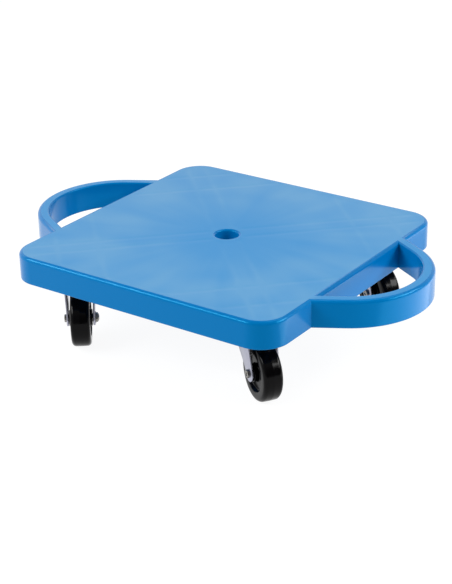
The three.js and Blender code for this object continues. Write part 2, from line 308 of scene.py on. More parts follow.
def startClouded(name, cloudSize, detail, colours, spread, roughness):
    # A material whose colour and gloss shift together, in patches of a real size
    material, tree, shader = startMaterial(name)
    place = addNode(tree, "ShaderNodeTexCoord").outputs["Object"]
    clouds = addNode(tree, "ShaderNodeTexNoise", {"Vector": place, "Scale": 1 / cloudSize, "Detail": detail})
    colour = addNode(tree, "ShaderNodeValToRGB", {"Fac": clouds})
    for stop, code in zip(colour.color_ramp.elements, colours):
        stop.color = hexColour(code)
    rough = addNode(tree, "ShaderNodeMapRange", {
        "Value": clouds, "From Min": spread[0], "From Max": spread[1],
        "To Min": roughness[0], "To Max": roughness[1]})
    setInputs(shader, {"Base Color": colour, "Roughness": rough})
    return material, tree, shader, place


def addGrain(tree, shader, place, scale, detail, strength, depth):
    grain = addNode(tree, "ShaderNodeTexNoise", {"Vector": place, "Scale": scale, "Detail": detail})
    bump = addNode(tree, "ShaderNodeBump", {"Height": grain, "Strength": strength, "Distance": depth})
    setInputs(shader, {"Normal": bump})


def makeDeckPlastic():
    # High-density polyethylene, injection moulded in a polished tool: a waxy, deep gloss whose highlights
    # stay blue, and a scuffed, rougher top. The top is also painted paler, a painted sheen in flow
    # streaks that fan out from the middle, weaker towards the middle and on the grips and palest along
    # its dips. The walls get a darker copy of the blue, a painted shade
    size = inMetres({"cloudSize": 70, "streakLength": 210, "gateInner": 20, "gateOuter": 180,
                     "peelSize": 1.6, "peelDepth": 0.1, "gripFade": 8})
    fanFineness = 4.5
    # The second colour is a painted sheen for the top; the wall colour, darker than the top's blue, is
    # painted shade on the walls
    clear, paintedSheenColour, wall, sheen = (hexColour(code) for code in ("0076B3", "4A88B6", "0068A8", "30D2FF"))
    material, tree, shader = startMaterial("moulded blue polyethylene")
    place = addNode(tree, "ShaderNodeTexCoord").outputs["Object"]
    flat = addNode(tree, "ShaderNodeVectorMath", {0: place, 1: (1, 1, 0)}, operation="MULTIPLY")
    radius = addNode(tree, "ShaderNodeVectorMath", {0: flat}, operation="LENGTH").outputs["Value"]
    around = addNode(tree, "ShaderNodeVectorMath", {0: flat}, operation="NORMALIZE")
    spread = addNode(tree, "ShaderNodeVectorMath", {0: around, "Scale": fanFineness}, operation="SCALE")
    reach = addNode(tree, "ShaderNodeMath", {0: radius, 1: size.streakLength}, operation="DIVIDE")
    outward = addNode(tree, "ShaderNodeCombineXYZ", {"Z": reach})
    fan = addNode(tree, "ShaderNodeVectorMath", {0: spread, 1: outward})
    streaks = addNode(tree, "ShaderNodeTexNoise", {"Vector": fan, "Scale": 1.0, "Detail": 1.5})
    clouds = addNode(tree, "ShaderNodeTexNoise", {
        "Vector": place, "Scale": 1 / size.cloudSize, "Detail": 1.0})
    both = addNode(tree, "ShaderNodeMath", {0: streaks, 1: clouds})
    # How strongly the painted sheen pales the top, in streaks and clouds
    paintedSheenAmount = addNode(tree, "ShaderNodeMapRange", {
        "Value": both, "From Min": 0.5, "From Max": 1.5, "To Min": 0.1, "To Max": 1.3})
    # The painted sheen weakens towards the middle of the top
    middleFade = addNode(tree, "ShaderNodeMapRange", {
        "Value": radius, "From Min": size.gateInner, "From Max": size.gateOuter,
        "To Min": 0.1, "To Max": 1.1}, interpolation_type="SMOOTHSTEP")
    # The top's mark from regridTop: where the sheen is painted and the top is rougher, stronger along the
    # dips
    onTop = addNode(tree, "ShaderNodeAttribute", attribute_name="scuffed").outputs["Fac"]
    axes = addNode(tree, "ShaderNodeSeparateXYZ", {0: place})
    sideways = addNode(tree, "ShaderNodeMath", {0: axes.outputs["X"]}, operation="ABSOLUTE")
    offGrip = addNode(tree, "ShaderNodeMapRange", {
        "Value": sideways, "From Min": deckHalf - size.gripFade, "From Max": deckHalf + size.gripFade,
        "To Min": 1.0, "To Max": 0.2})
    for share in (middleFade, onTop, offGrip):
        paintedSheenAmount = addNode(tree, "ShaderNodeMath", {0: paintedSheenAmount, 1: share}, operation="MULTIPLY")
    colour = addNode(tree, "ShaderNodeValToRGB", {"Fac": paintedSheenAmount})
    colour.color_ramp.elements[0].color = clear
    colour.color_ramp.elements[1].color = paintedSheenColour
    # The top takes the blue paled by the painted sheen, and the walls take the wall colour, a painted shade
    paint = addNode(tree, "ShaderNodeMix", {"Factor": onTop, 6: wall, 7: colour}, data_type="RGBA")
    # The top's roughness, a little higher where the painted sheen is stronger
    scuffed = addNode(tree, "ShaderNodeMapRange", {"Value": paintedSheenAmount, "To Min": 0.3, "To Max": 0.36})
    rough = addNode(tree, "ShaderNodeMix", {"Factor": onTop, "A": 0.17, "B": scuffed})
    addGrain(tree, shader, place, 1 / size.peelSize, detail=1.0, strength=0.06, depth=size.peelDepth)
    setInputs(shader, {
        "Base Color": paint.outputs[2], "Roughness": rough, "IOR": 1.45, "Specular Tint": sheen})
    return material


def makeZinc():
    # Mild steel, pressed and bright zinc plated: a pale silver with a faint milky cloud and fine draw marks
    size = inMetres({"cloudSize": 9, "drawWidth": 0.35, "drawLength": 8, "drawDepth": 0.05})
    material, tree, shader, place = startClouded(
        "bright zinc plated steel", size.cloudSize, detail=3.0, colours=("A1A3B3", "BABAC8"),
        spread=(0.3, 0.7), roughness=(0.29, 0.36))
    stretched = addNode(tree, "ShaderNodeMapping", {
        "Vector": place, "Scale": (1 / size.drawWidth, 1 / size.drawWidth, 1 / size.drawLength)})
    addGrain(tree, shader, stretched, 1.0, detail=2.0, strength=0.08, depth=size.drawDepth)
    setInputs(shader, {"Metallic": 1.0})
    return material


def makeSteel():
    # Plain carbon steel, turned or headed and lightly oiled: darker and a little warmer than the zinc
    size = inMetres({"cloudSize": 3})
    material, tree, shader, place = startClouded(
        "headed carbon steel", size.cloudSize, detail=3.0, colours=("6E6B66", "A3A19C"),
        spread=(0.3, 0.7), roughness=(0.2, 0.26))
    setInputs(shader, {"Metallic": 1.0})
    return material


def makeWheelRubber():
    # Hard black rubber, compression moulded: semi-gloss, with a satin skin and a dusty bloom in patches
    size = inMetres({"bloomSize": 16, "skinSize": 1.1, "skinDepth": 0.1})
    material, tree, shader, place = startClouded(
        "hard moulded black rubber", size.bloomSize, detail=4.0, colours=("010101", "060507"),
        spread=(0.35, 0.65), roughness=(0.11, 0.2))
    addGrain(tree, shader, place, 1 / size.skinSize, detail=1.0, strength=0.06, depth=size.skinDepth)
    setInputs(shader, {"IOR": 1.52, "Specular IOR Level": 0.1})
    return material


deckPlastic = makeDeckPlastic()
zinc = makeZinc()
steel = makeSteel()
wheelRubber = makeWheelRubber()
print("materials made")


# Deck: the moulding with its grips, hollow below and ribbed

deckLook = {
    "cornerRadius": 38, "edgeFillet": 5, "bottomRound": 0.9, "topWall": 4, "skirtWall": 4,
    "supportLoop": 0.4, "ceilingRound": 2, "overrun": 6,
    "gripWidth": 16, "gripArcRadius": 109, "gripInnerFillet": 2.4, "gripWall": 3.5, "gripRibWall": 2.5,
    "ribWall": 3, "diagonalRibGap": 26, "crossRibSpacing": 53, "ribRound": 0.8, "ribLength": 640,
    "bossRadius": 6, "bossHole": 2.6, "screwReach": 18.3,
    "holeRadius": 15.4, "holeRim": 3, "tubeWall": 4.1, "seatGap": 0.3,
    "gridStep": 3, "sinkDepth": 0.16, "sinkSpread": 3.4, "edgeFade": 12, "edgeKeep": 4.8,
    "warpSize": 120, "warpDepth": 0.12, "gritSize": 0.001,
}
deckSize = inMetres(deckLook)
gripArcAngle = math.radians(60)
gripRibShares = [-0.75, -0.25, 0.25, 0.75]
filletSteps, footSteps, cornerSteps = 10, 4, 20
rimClearance = 0.6  # of the grid's step
# How much stronger the painted sheen is along the dips, so that they look paler
dipSheen = 0.35
warpStart = Vector((3.1, 7.7, 0.4))
ribFoot = plateTop + deckSize.seatGap
underside = deckTop - deckSize.topWall


def gripLine(inset, rootX, steps=56):
    radius = deckSize.gripArcRadius - inset
    centre = gripTip - deckSize.gripArcRadius
    endX, endY = centre + radius * math.cos(gripArcAngle), radius * math.sin(gripArcAngle)
    rootY = endY + (endX - rootX) / math.tan(gripArcAngle)
    line = [(rootX, -rootY)]
    for i in range(steps + 1):
        angle = (2 * i / steps - 1) * gripArcAngle
        line.append((centre + radius * math.cos(angle), radius * math.sin(angle)))
    return line + [(rootX, rootY)]


def gripBand(outerInset, innerInset, rootX):
    return gripLine(outerInset, rootX) + gripLine(innerInset, rootX)[::-1]


def edgeInset(height, topRadius):
    # How far the deck's wall lies back from its face at a height, where its ends are rounded
    for depth, radius in ((height - skirtBottom, deckSize.bottomRound), (deckTop - height, topRadius)):
        if depth < radius:
            return radius - math.sqrt(max(radius ** 2 - (radius - depth) ** 2, 0))
    return 0


def edgeHeights(*topRadii):
    foot, loop = deckSize.bottomRound, deckSize.supportLoop
    heights = {skirtBottom + foot + loop, deckTop - max(topRadii) - loop}
    for angle in quarterArc(filletSteps):
        share = 1 - math.sin(angle)
        heights.add(skirtBottom + foot * share)
        heights.update(deckTop - radius * share for radius in topRadii)
    return sorted(heights)


def deckOutline(inset):
    half, radius = deckHalf - inset, deckSize.cornerRadius - inset
    return roundedBlank(half, half, radius, cornerSteps)


def outerDeck():
    fillet = deckSize.edgeFillet
    levels = [(deckOutline(edgeInset(z, fillet)), z) for z in edgeHeights(fillet)]
    return makeObject(loft(levels), "moulded_deck")


def gripShape(turn):
    outer, inner, width = deckSize.edgeFillet, deckSize.gripInnerFillet, deckSize.gripWidth
    rootX = deckHalf - outer - deckSize.skirtWall
    levels = [(gripBand(edgeInset(z, outer), width - edgeInset(z, inner), rootX), z)
              for z in edgeHeights(outer, inner)]
    return moved(loft(levels), turn)


def gripHollow(turn):
    # The channel under a grip, parted by its short ribs
    width, wall, foot = deckSize.gripWidth, deckSize.gripWall, deckSize.bottomRound
    levels = [(gripBand(wall - flare, width - wall + flare, deckHalf), z) for z, flare in (
        (skirtBottom - deckSize.overrun, foot), (skirtBottom, foot), (skirtBottom + foot / 4, foot / 3),
        (skirtBottom + foot, 0), (underside, 0))]
    hollow = makeObject(loft(levels))
    rib = roundedRib(width, deckSize.gripRibWall, skirtBottom + foot, deckTop)
    across = Matrix.Translation((deckSize.gripArcRadius - width / 2, 0, 0))
    centre = Matrix.Translation((gripTip - deckSize.gripArcRadius, 0, 0))
    for share in gripRibShares:
        combine(hollow, moved(rib, centre @ aboutZ(share * gripArcAngle) @ across))
    hollow.data.transform(turn)
    return hollow


def roundedRib(length, wall, low, high):
    # A rib along X whose lower edge is rounded
    section = roundCorners([
        (-wall / 2, low, deckSize.ribRound), (wall / 2, low, deckSize.ribRound),
        (wall / 2, high, 0), (-wall / 2, high, 0)])
    points, faces = loft([(section, x) for x in (-length / 2, length / 2)])
    return [(x, y, z) for y, z, x in points], faces


# Geometry Nodes set the ribs and bosses of the underside and leave the space between them

def startTree(name, sockets):
    tree = bpy.data.node_groups.new(name, "GeometryNodeTree")
    for label, kind in {"Geometry": "Geometry", **sockets, "Material": "Material"}.items():
        tree.interface.new_socket(label, in_out="INPUT", socket_type="NodeSocket" + kind)
    tree.interface.new_socket("Geometry", in_out="OUTPUT", socket_type="NodeSocketGeometry")
    return tree, addNode(tree, "NodeGroupInput").outputs


def finishTree(tree, given, shape):
    real = addNode(tree, "GeometryNodeRealizeInstances", {0: shape})
    painted = addNode(tree, "GeometryNodeSetMaterial", {"Geometry": real, "Material": given["Material"]})
    addNode(tree, "NodeGroupOutput", {0: painted})


def ribCrossings(tree, given, height=0.0):
    # The four places where a caster's cross ribs meet the diagonal ones
    grid = addNode(tree, "GeometryNodeMeshGrid", {
        "Size X": given["Cross Rib Spacing"], "Size Y": given["Rib Gap"], "Vertices X": 2, "Vertices Y": 2})
    shift = addNode(tree, "ShaderNodeCombineXYZ", {"X": given["Pivot Distance"], "Z": height})
    return addNode(tree, "GeometryNodeTransform", {"Geometry": grid, "Translation": shift})


ribPlaces = {"Rib Gap": deckSize.diagonalRibGap, "Cross Rib Spacing": deckSize.crossRibSpacing,
             "Pivot Distance": diagonalPivot}


def ribTree():
    tree, given = startTree("deck_ribs", {
        **dict.fromkeys(ribPlaces, "Float"), **dict.fromkeys(("Rib", "Boss", "Tube"), "Object")})
    rib, boss, tube = (addNode(tree, "GeometryNodeObjectInfo", {"Object": given[name]}).outputs["Geometry"]
                       for name in ("Rib", "Boss", "Tube"))
    halfGap = addNode(tree, "ShaderNodeMath", {0: given["Rib Gap"], 1: -0.5}, operation="MULTIPLY")
    halfSpacing = addNode(tree, "ShaderNodeMath", {
        0: given["Cross Rib Spacing"], 1: -0.5, 2: given["Pivot Distance"]}, operation="MULTIPLY_ADD")
    parts = []
    for axis, first, step, turn in (("Y", halfGap, "Rib Gap", 0),
                                    ("X", halfSpacing, "Cross Rib Spacing", math.pi / 2)):
        start = addNode(tree, "ShaderNodeCombineXYZ", {axis: first})
        offset = addNode(tree, "ShaderNodeCombineXYZ", {axis: given[step]})
        pair = addNode(tree, "GeometryNodeMeshLine", {"Count": 2, "Start Location": start, "Offset": offset})
        parts.append(addNode(tree, "GeometryNodeInstanceOnPoints", {
            "Points": pair, "Instance": rib, "Rotation": (0, 0, turn)}))
    parts.append(addNode(tree, "GeometryNodeInstanceOnPoints", {
        "Points": ribCrossings(tree, given), "Instance": boss}))
    ribs = addNode(tree, "GeometryNodeJoinGeometry", {0: parts})
    # The space is turned under the same ribs for each corner in turn, and back at the end
    space = addNode(tree, "GeometryNodeMeshBoolean", {
        "Mesh 1": given["Geometry"], "Mesh 2": tube}, solver="MANIFOLD")
    for corner in range(4):
        space = addNode(tree, "GeometryNodeTransform", {
            "Geometry": space, "Rotation": (0, 0, math.pi / 2 if corner else math.pi / 4)})
        space = addNode(tree, "GeometryNodeMeshBoolean", {"Mesh 1": space, "Mesh 2": ribs}, solver="MANIFOLD")
    space = addNode(tree, "GeometryNodeTransform", {"Geometry": space, "Rotation": (0, 0, math.pi / 4)})
    finishTree(tree, given, space)
    return tree


def runTree(thing, tree, values):
    modifier = thing.modifiers.new(tree.name, "NODES")
    modifier.node_group = tree
    for item in tree.interface.items_tree:
        if item.in_out == "INPUT" and item.name in values:
            modifier[item.identifier] = values[item.name]
    applyModifiers(thing)


def deckCavity():
    # The space inside the skirt, where the ribs, bosses and tube stay
    wall, foot, ribRound = deckSize.skirtWall, deckSize.bottomRound, deckSize.ribRound
    high = deckTop + deckSize.overrun
    levels = [(deckOutline(wall - foot), skirtBottom - deckSize.overrun)]
    levels += [(deckOutline(wall - flare), skirtBottom + rise)
               for flare, rise in roundedEdge(foot, footSteps)]
    levels += [(deckOutline(wall + inset), underside - drop)
               for drop, inset in roundedEdge(deckSize.ceilingRound, footSteps)]
    cavity = makeObject(loft(levels))
    rib = makeObject(roundedRib(deckSize.ribLength, deckSize.ribWall, ribFoot, high))
    boss = makeObject(turned(deckSize.bossRadius, ribFoot, high, 32, ribRound))
    tube = makeObject(turned(deckSize.holeRadius + deckSize.tubeWall, ribFoot, high, 72, ribRound))
    runTree(cavity, ribTree(), {**ribPlaces, "Rib": rib, "Boss": boss, "Tube": tube, "Material": deckPlastic})
    for tool in (rib, boss, tube):
        remove(tool)
    return cavity


screwPlaces = cornersOf(deckSize.crossRibSpacing / 2, deckSize.diagonalRibGap / 2)


def cutBores(deck):
    radius, rim, foot = deckSize.holeRadius, deckSize.holeRim, deckSize.ribRound
    low, high = skirtBottom - deckSize.overrun, deckTop + deckSize.overrun
    profile = [(0, low), (radius + foot, low)]
    profile += [(radius + flare, ribFoot + rise) for flare, rise in roundedEdge(foot, footSteps)]
    profile += [(radius + flare, deckTop - drop) for drop, flare in roundedEdge(rim, filletSteps)]
    profile += [(radius + rim, high), (0, high)]
    combine(deck, lathe(profile, 96))
    pilot = turned(deckSize.bossHole, low, ribFoot + deckSize.screwReach, 24)
    for corner in range(4):
        turn = aboutZ(math.radians(45 + 90 * corner))
        combine(deck, joined([moved(pilot, turn @ Matrix.Translation((diagonalPivot + x, y, 0)))
                              for x, y in screwPlaces]))


def sinkAt(x, y):
    # Plastic shrinks over each rib, so the top dips a little along them, and it warps a little all over
    depth = 0
    spread, fadeWidth = deckSize.sinkSpread, deckSize.edgeFade
    for turn in (math.pi / 4, 3 * math.pi / 4):
        along, side = x * math.cos(turn) + y * math.sin(turn), y * math.cos(turn) - x * math.sin(turn)
        for end in (-1, 1):
            fromRib = side - end * deckSize.diagonalRibGap / 2
            fromCrossRib = abs(along) - diagonalPivot - end * deckSize.crossRibSpacing / 2
            depth = max(depth, math.exp(-(fromRib / spread) ** 2), math.exp(-(fromCrossRib / spread) ** 2))
    fade = min(max((deckHalf - max(abs(x), abs(y)) - deckSize.edgeKeep) / fadeWidth, 0), 1)
    hub = min(max((math.hypot(x, y) - deckSize.holeRadius - deckSize.holeRim) / fadeWidth, 0), 1)
    fade *= hub * hub * (3 - 2 * hub)
    place = Vector((x, y, 0)) / deckSize.warpSize
    warp = deckSize.warpDepth * (noise.noise(place + warpStart) - 1) / 2
    # The second value tells how far into a dip a point lies, and makes the painted sheen stronger there
    return fade * (warp - depth * deckSize.sinkDepth), fade * depth


def insideLoops(points, edges):
    # Even-odd test of points against straight edges
    inside = np.zeros(len(points), bool)
    for (x1, y1), (x2, y2) in edges:
        if y1 == y2:
            continue
        spans = (points[:, 1] > min(y1, y2)) & (points[:, 1] <= max(y1, y2))
        crossing = x1 + (points[:, 1] - y1) / (y2 - y1) * (x2 - x1)
        inside ^= spans & (points[:, 0] < crossing)
    return inside


def evenGrid(edges):
    # Points of an even grid that lie inside straight edges and clear of them
    step = deckSize.gridStep
    xs = np.arange(-gripTip, gripTip, step)
    ys = np.arange(-deckHalf, deckHalf, step * math.sqrt(3) / 2)
    grid = np.array([(x + (j % 2) * step / 2, y) for j, y in enumerate(ys) for x in xs])
    grid = grid[insideLoops(grid, edges)]
    clear = np.ones(len(grid), bool)
    for first, second in edges:
        along = np.array(second) - first
        share = np.clip((grid - first) @ along / (along @ along), 0, 1)
        clear &= np.hypot(*(grid - first - share[:, None] * along).T) > step * rimClearance
    return grid[clear]


def regridTop(deck):
    # The flat top gets an even grid of points, so its shallow dips are real shape, and a mark for its
    # rougher, scuffed finish and its painted sheen, which is stronger along the dips
    work = bmesh.new()
    work.from_mesh(deck.data)
    scuffed = work.verts.layers.float.new("scuffed")
    bmesh.ops.remove_doubles(work, verts=work.verts, dist=deckSize.gritSize)
    flat = [face for face in work.faces
            if all(abs(vertex.co.z - deckTop) < deckSize.gritSize for vertex in face.verts)]
    bmesh.ops.delete(work, geom=flat, context="FACES")
    rim = [edge for edge in work.edges if len(edge.link_faces) == 1]
    rimPoints = list(dict.fromkeys(vertex for edge in rim for vertex in edge.verts))
    order = {vertex: i for i, vertex in enumerate(rimPoints)}
    edges = [tuple((vertex.co.x, vertex.co.y) for vertex in edge.verts) for edge in rim]
    coords = [vertex.co.xy for vertex in rimPoints] + [Vector(point) for point in evenGrid(edges)]
    constraints = [tuple(order[vertex] for vertex in edge.verts) for edge in rim]
    corners, _, faces, origins = delaunay_2d_cdt(coords, constraints, [], 0, deckSize.gritSize / 10)[:4]
    corners = np.array([corner[:] for corner in corners])
    faces = np.array([face for face in faces if len(face) == 3])
    made = []
    for (x, y), origin in zip(corners, origins):
        if origin and origin[0] < len(rimPoints):
            made.append(rimPoints[origin[0]])
        else:
            made.append(work.verts.new((x, y, deckTop)))
    for a, b, c in faces[insideLoops(corners[faces].mean(1), edges)]:
        work.faces.new((made[a], made[b], made[c]))
    for vertex in made:
        drop, dip = sinkAt(vertex.co.x, vertex.co.y)
        # The top's mark, raised along the dips so that they are painted paler
        vertex[scuffed] = 1 + dipSheen * dip
        if vertex not in order:
            vertex.co.z += drop
    bmesh.ops.recalc_face_normals(work, faces=work.faces)
    work.to_mesh(deck.data)
    work.free()


def makeDeck():
    deck = outerDeck()
    halfTurns = [aboutZ(0), aboutZ(math.pi)]
    for turn in halfTurns:
        combine(deck, gripShape(turn), "UNION")
    combine(deck, deckCavity())
    for turn in halfTurns:
        combine(deck, gripHollow(turn))
    cutBores(deck)
    regridTop(deck)
    return finishPiece(smooth(deck), "board", "deck_plastic", deckPlastic, "deck")


deck = makeDeck()
print("deck made,", len(deck.data.polygons), "faces")


# Casters: each piece is made once, about its pivot and with the plate's top at Z zero, and set four times

plateLook = {
    "length": 68, "width": 46, "thickness": 2.5, "corner": 5, "edge": 0.35, "kingpinBore": 6.3,
    "lipInner": 20, "lipOuter": 21.5, "lipBottom": -6, "lipRound": 0.6, "lipFlare": 1.1, "lipTop": -1.2,
    "screwBore": 2.6,
}
ringSteps = 72


def fixedTurn(name):
    pivot = casterPlace(name)[0]
    return Matrix.Translation(pivot) @ aboutZ(math.atan2(pivot.y, pivot.x))


def swivelTurn(name):
    pivot, axle = casterPlace(name)
    return Matrix.Translation(pivot) @ aboutZ(math.atan2(axle.y - pivot.y, axle.x - pivot.x))


def axleTurn(name):
    return swivelTurn(name) @ Matrix.Translation((trail, 0, axleDrop))


def setFourTimes(master, pieceName, turnOf, bodyEnd, slot, material, *nodeEnds):
    for name in casterNames:
        piece = bpy.data.objects.new(name + "_" + pieceName, master.data.copy())
        piece.data.name = piece.name
        piece.data.transform(turnOf(name))
        scene.collection.objects.link(piece)
        body = name + bodyEnd if bodyEnd else "board"
        finishPiece(piece, body, slot, material, *(name + end for end in nodeEnds))
    remove(master)


def makePlate():
    size = inMetres(plateLook)

    def blank(inset):
        return roundedBlank(size.length / 2 - inset, size.width / 2 - inset, size.corner - inset, 8)

    edge = roundedEdge(size.edge, 3)
    plate = makeObject(loft(
        [(blank(inset), rise - size.thickness) for inset, rise in edge]
        + [(blank(inset), -drop) for drop, inset in edge]))
    inner, outer, flare = size.lipInner, size.lipOuter, size.lipFlare
    lip = roundCorners([
        (inner, size.lipBottom, size.lipRound), (outer, size.lipBottom, size.lipRound),
        (outer, -size.thickness, flare), (outer + flare * 2, -size.thickness, 0),
        (outer + flare * 2, size.lipTop, 0), (inner, size.lipTop, 0)], 5)
    combine(plate, lathe(lip, ringSteps), "UNION")
    screwHole = drill(size.screwBore, 24)
    screwHoles = [moved(screwHole, Matrix.Translation((x, y, 0))) for x, y in screwPlaces]
    combine(plate, joined([drill(size.kingpinBore, 48)] + screwHoles))
    return smooth(plate)


setFourTimes(makePlate(), "pressed_plate", fixedTurn, "", "zinc", zinc, "_plate")


kingpinLook = {
    "shank": 6, "head": 9, "top": 2.5, "topSeat": 0.3, "lowSeat": -18.5, "bottom": -20.7,
    "dimple": 2.2, "dimpleDepth": 0.7, "dimpleFloor": 1.54, "dimpleRim": 2.64, "dimpleLip": 0.1,
}


def domedHead(radius, seat, crown, rimShare=0.2, steps=7):
    # Half of a rivet's head, from its rim to its middle
    rise = crown - seat
    points = [(radius, seat), (radius, seat + rise * rimShare)]
    for angle in quarterArc(steps)[1:-1]:
        height = rise * (rimShare + (1 - rimShare) * math.sin(angle))
        points.append((radius * math.cos(angle), seat + height))
    return points + [(0, crown)]


def makeKingpin():
    size = inMetres(kingpinLook)
    low = domedHead(size.head, size.lowSeat, size.bottom)[::-1]
    floor = size.bottom + size.dimpleDepth
    profile = [(0, floor), (size.dimpleFloor, floor), (size.dimple, size.bottom + size.dimpleLip)]
    profile += [point for point in low if point[0] > size.dimpleRim]
    profile += [(size.shank, size.lowSeat), (size.shank, size.topSeat)]
    profile += domedHead(size.head, size.topSeat, size.top)
    return smooth(makeObject(lathe(profile, 48)))


setFourTimes(makeKingpin(), "riveted_kingpin", fixedTurn, "", "steel", steel, "_kingpin")


cupLook = {
    "bore": 6.3, "outer": 16.3, "inner": 15, "bottom": -18.2, "floor": -16.2, "lipTop": -13.2,
    "outerBend": 1.9, "innerBend": 0.9, "lipRound": 0.5, "boreRound": 0.3,
}


def makeCup():
    size = inMetres(cupLook)
    edge, lip = size.boreRound, size.lipRound
    profile = roundCorners([
        (size.bore, size.bottom, edge), (size.outer, size.bottom, size.outerBend),
        (size.outer, size.lipTop, lip), (size.inner, size.lipTop, lip),
        (size.inner, size.floor, size.innerBend), (size.bore, size.floor, edge)], 5)
    return smooth(makeObject(lathe(profile, ringSteps)))


setFourTimes(makeCup(), "pressed_cup", fixedTurn, "", "zinc", zinc, "_race_cup")


# Fork: one blank bent down at both sides, under a round crown

forkLook = {
    "sheet": 2.5, "edge": 0.45, "crownTop": -8.1, "crownRadius": 20.5, "shoulder": 22, "shoulderDrop": 12,
    "bendRadius": 2.6, "legOuter": 18.5, "legBend": 12, "kneeRound": 14, "tipRadius": 10.5, "tipEnd": 0.4,
    "pivotBore": 6.5, "axleBore": 3.5, "pathStep": 1.5,
}


def forkPath(size):
    # The middle of the bent sheet from the crown to the tip, in Y and Z
    half = size.sheet / 2
    crown, leg = size.crownTop - half, size.legOuter - half
    path = roundCorners([
        (0, crown, 0), (size.crownRadius - half, crown, size.bendRadius),
        (leg, axleDrop + size.legBend, size.kneeRound), (leg, axleDrop - size.tipRadius, 0)], 7)
    fine = []
    for (y1, z1), (y2, z2) in zip(path, path[1:]):
        count = max(1, round(math.hypot(y2 - y1, z2 - z1) / size.pathStep))
        fine += [(y1 + (y2 - y1) * k / count, z1 + (z2 - z1) * k / count) for k in range(count)]
    tip = [(leg, axleDrop - size.tipRadius * math.sin(angle)) for angle in quarterArc(10)]
    return [point for point in fine if point[1] > axleDrop] + tip


def forkSides(size, z):
    # Where the leg's front and back edges lie at a height
    tip = size.tipRadius
    if z <= axleDrop:
        half = math.sqrt(max(tip ** 2 - (axleDrop - z) ** 2, size.tipEnd ** 2))
        return trail - half, trail + half
    top = size.crownTop - size.sheet - size.shoulderDrop
    share = min((z - axleDrop) / (top - axleDrop), 1)
    middle, half = trail * (1 - share), tip * (1 - share) + size.shoulder * share
    return middle - half, middle + half


def forkLeg(size, side):
    path = forkPath(size)
    half = size.sheet / 2
    points = []
    for i, (y, z) in enumerate(path):
        before, after = path[max(i - 1, 0)], path[min(i + 1, len(path) - 1)]
        along = Vector((after[0] - before[0], after[1] - before[1])).normalized()
        left, right = forkSides(size, z)
        bevel = min(size.edge, (right - left) / 3)
        section = roundCorners([(left, -half, bevel), (right, -half, bevel), (right, half, bevel),
                                (left, half, bevel)], 3)
        points += [(x, side * (y - along.y * depth), z + along.x * depth) for x, depth in section]
    return points, skin(len(section), len(path))


def makeFork():
    size = inMetres(forkLook)
    fork = makeObject(forkLeg(size, 1))
    combine(fork, forkLeg(size, -1), "UNION")
    crownFoot = size.crownTop - size.sheet
    combine(fork, turned(size.crownRadius, crownFoot, size.crownTop, 96, size.edge, size.edge), "UNION")
    combine(fork, drill(size.pivotBore, 48))
    turn = Matrix.Translation((trail, 0, axleDrop)) @ Matrix.Rotation(math.pi / 2, 4, "X")
    combine(fork, moved(drill(size.axleBore, 32), turn))
    return smooth(fork, 40)


setFourTimes(makeFork(), "stamped_fork", swivelTurn, "_swivel_body", "zinc", zinc, "_fork")


# Pieces on the axle, which lies along Y through the wheel's centre

alongAxle = Matrix.Rotation(-math.pi / 2, 4, "X")

wheelLook = {
    "tread": 25.4, "shoulder": 5.5, "rimInner": 24.75, "rimRound": 1, "web": 22.5, "webHalf": 8.2,
    "webFillet": 2, "hub": 11, "hubEnd": 15, "hubRound": 0.9, "hubFillet": 1.6, "bore": 5.8,
    "boreEdge": 0.3, "hubDraft": 0.5, "crown": 0.25, "partingWidth": 0.5, "partingHeight": 0.06,
}


def makeWheel():
    size = inMetres(wheelLook)
    half = size.tread / 2
    tread = axleHeight - size.partingHeight
    side = roundCorners([
        (size.bore, -size.hubEnd, size.boreEdge), (size.hub, -size.hubEnd, size.hubRound),
        (size.hub + size.hubDraft, -size.webHalf, size.hubFillet),
        (size.web, -size.webHalf, size.webFillet), (size.rimInner, -half, size.rimRound),
        (tread - size.crown, -half, size.shoulder), (tread, 0, 0), (0, 0, 0)], 8)[:-2]
    side += [(tread, -size.partingWidth), (axleHeight, -size.partingWidth / 4)]
    return smooth(makeObject(moved(lathe(mirrored(side), 112), alongAxle)))


setFourTimes(makeWheel(), "moulded_wheel", axleTurn, "_wheel_body", "wheel_rubber", wheelRubber, "_wheel")


bushLook = {"bore": 3.5, "outer": 5.5, "half": 15.7, "chamfer": 0.4}


def makeBush():
    size = inMetres(bushLook)
    chamfer, half = size.chamfer, size.half
    end = [(size.bore, -half + chamfer), (size.bore + chamfer, -half), (size.outer - chamfer, -half),
           (size.outer, -half + chamfer)]
    return smooth(makeObject(moved(lathe(mirrored(end), 48), alongAxle)), 30)


setFourTimes(makeBush(), "spanner_bush", axleTurn, "_swivel_body", "steel", steel, "_axle_sleeve")


boltLook = {
    "shank": 3.2, "headFlats": 9, "headFace": -18.8, "headEnd": -21.6, "headChamfer": 0.6,
    "dish": 2.7, "dishDepth": 0.9, "coneSlack": 0.2, "overlap": 1,
    "threadStart": 15.5, "end": 23.6, "pitch": 1.0, "threadDepth": 0.35, "endChamfer": 0.9,
}
threadSides = 24


def hexCorner(flats):
    return flats / 2 / math.cos(math.pi / 6)


def hexBlock(flats, low, high):
    outline = circle(hexCorner(flats), 6)
    return loft([(outline, low), (outline, high)])


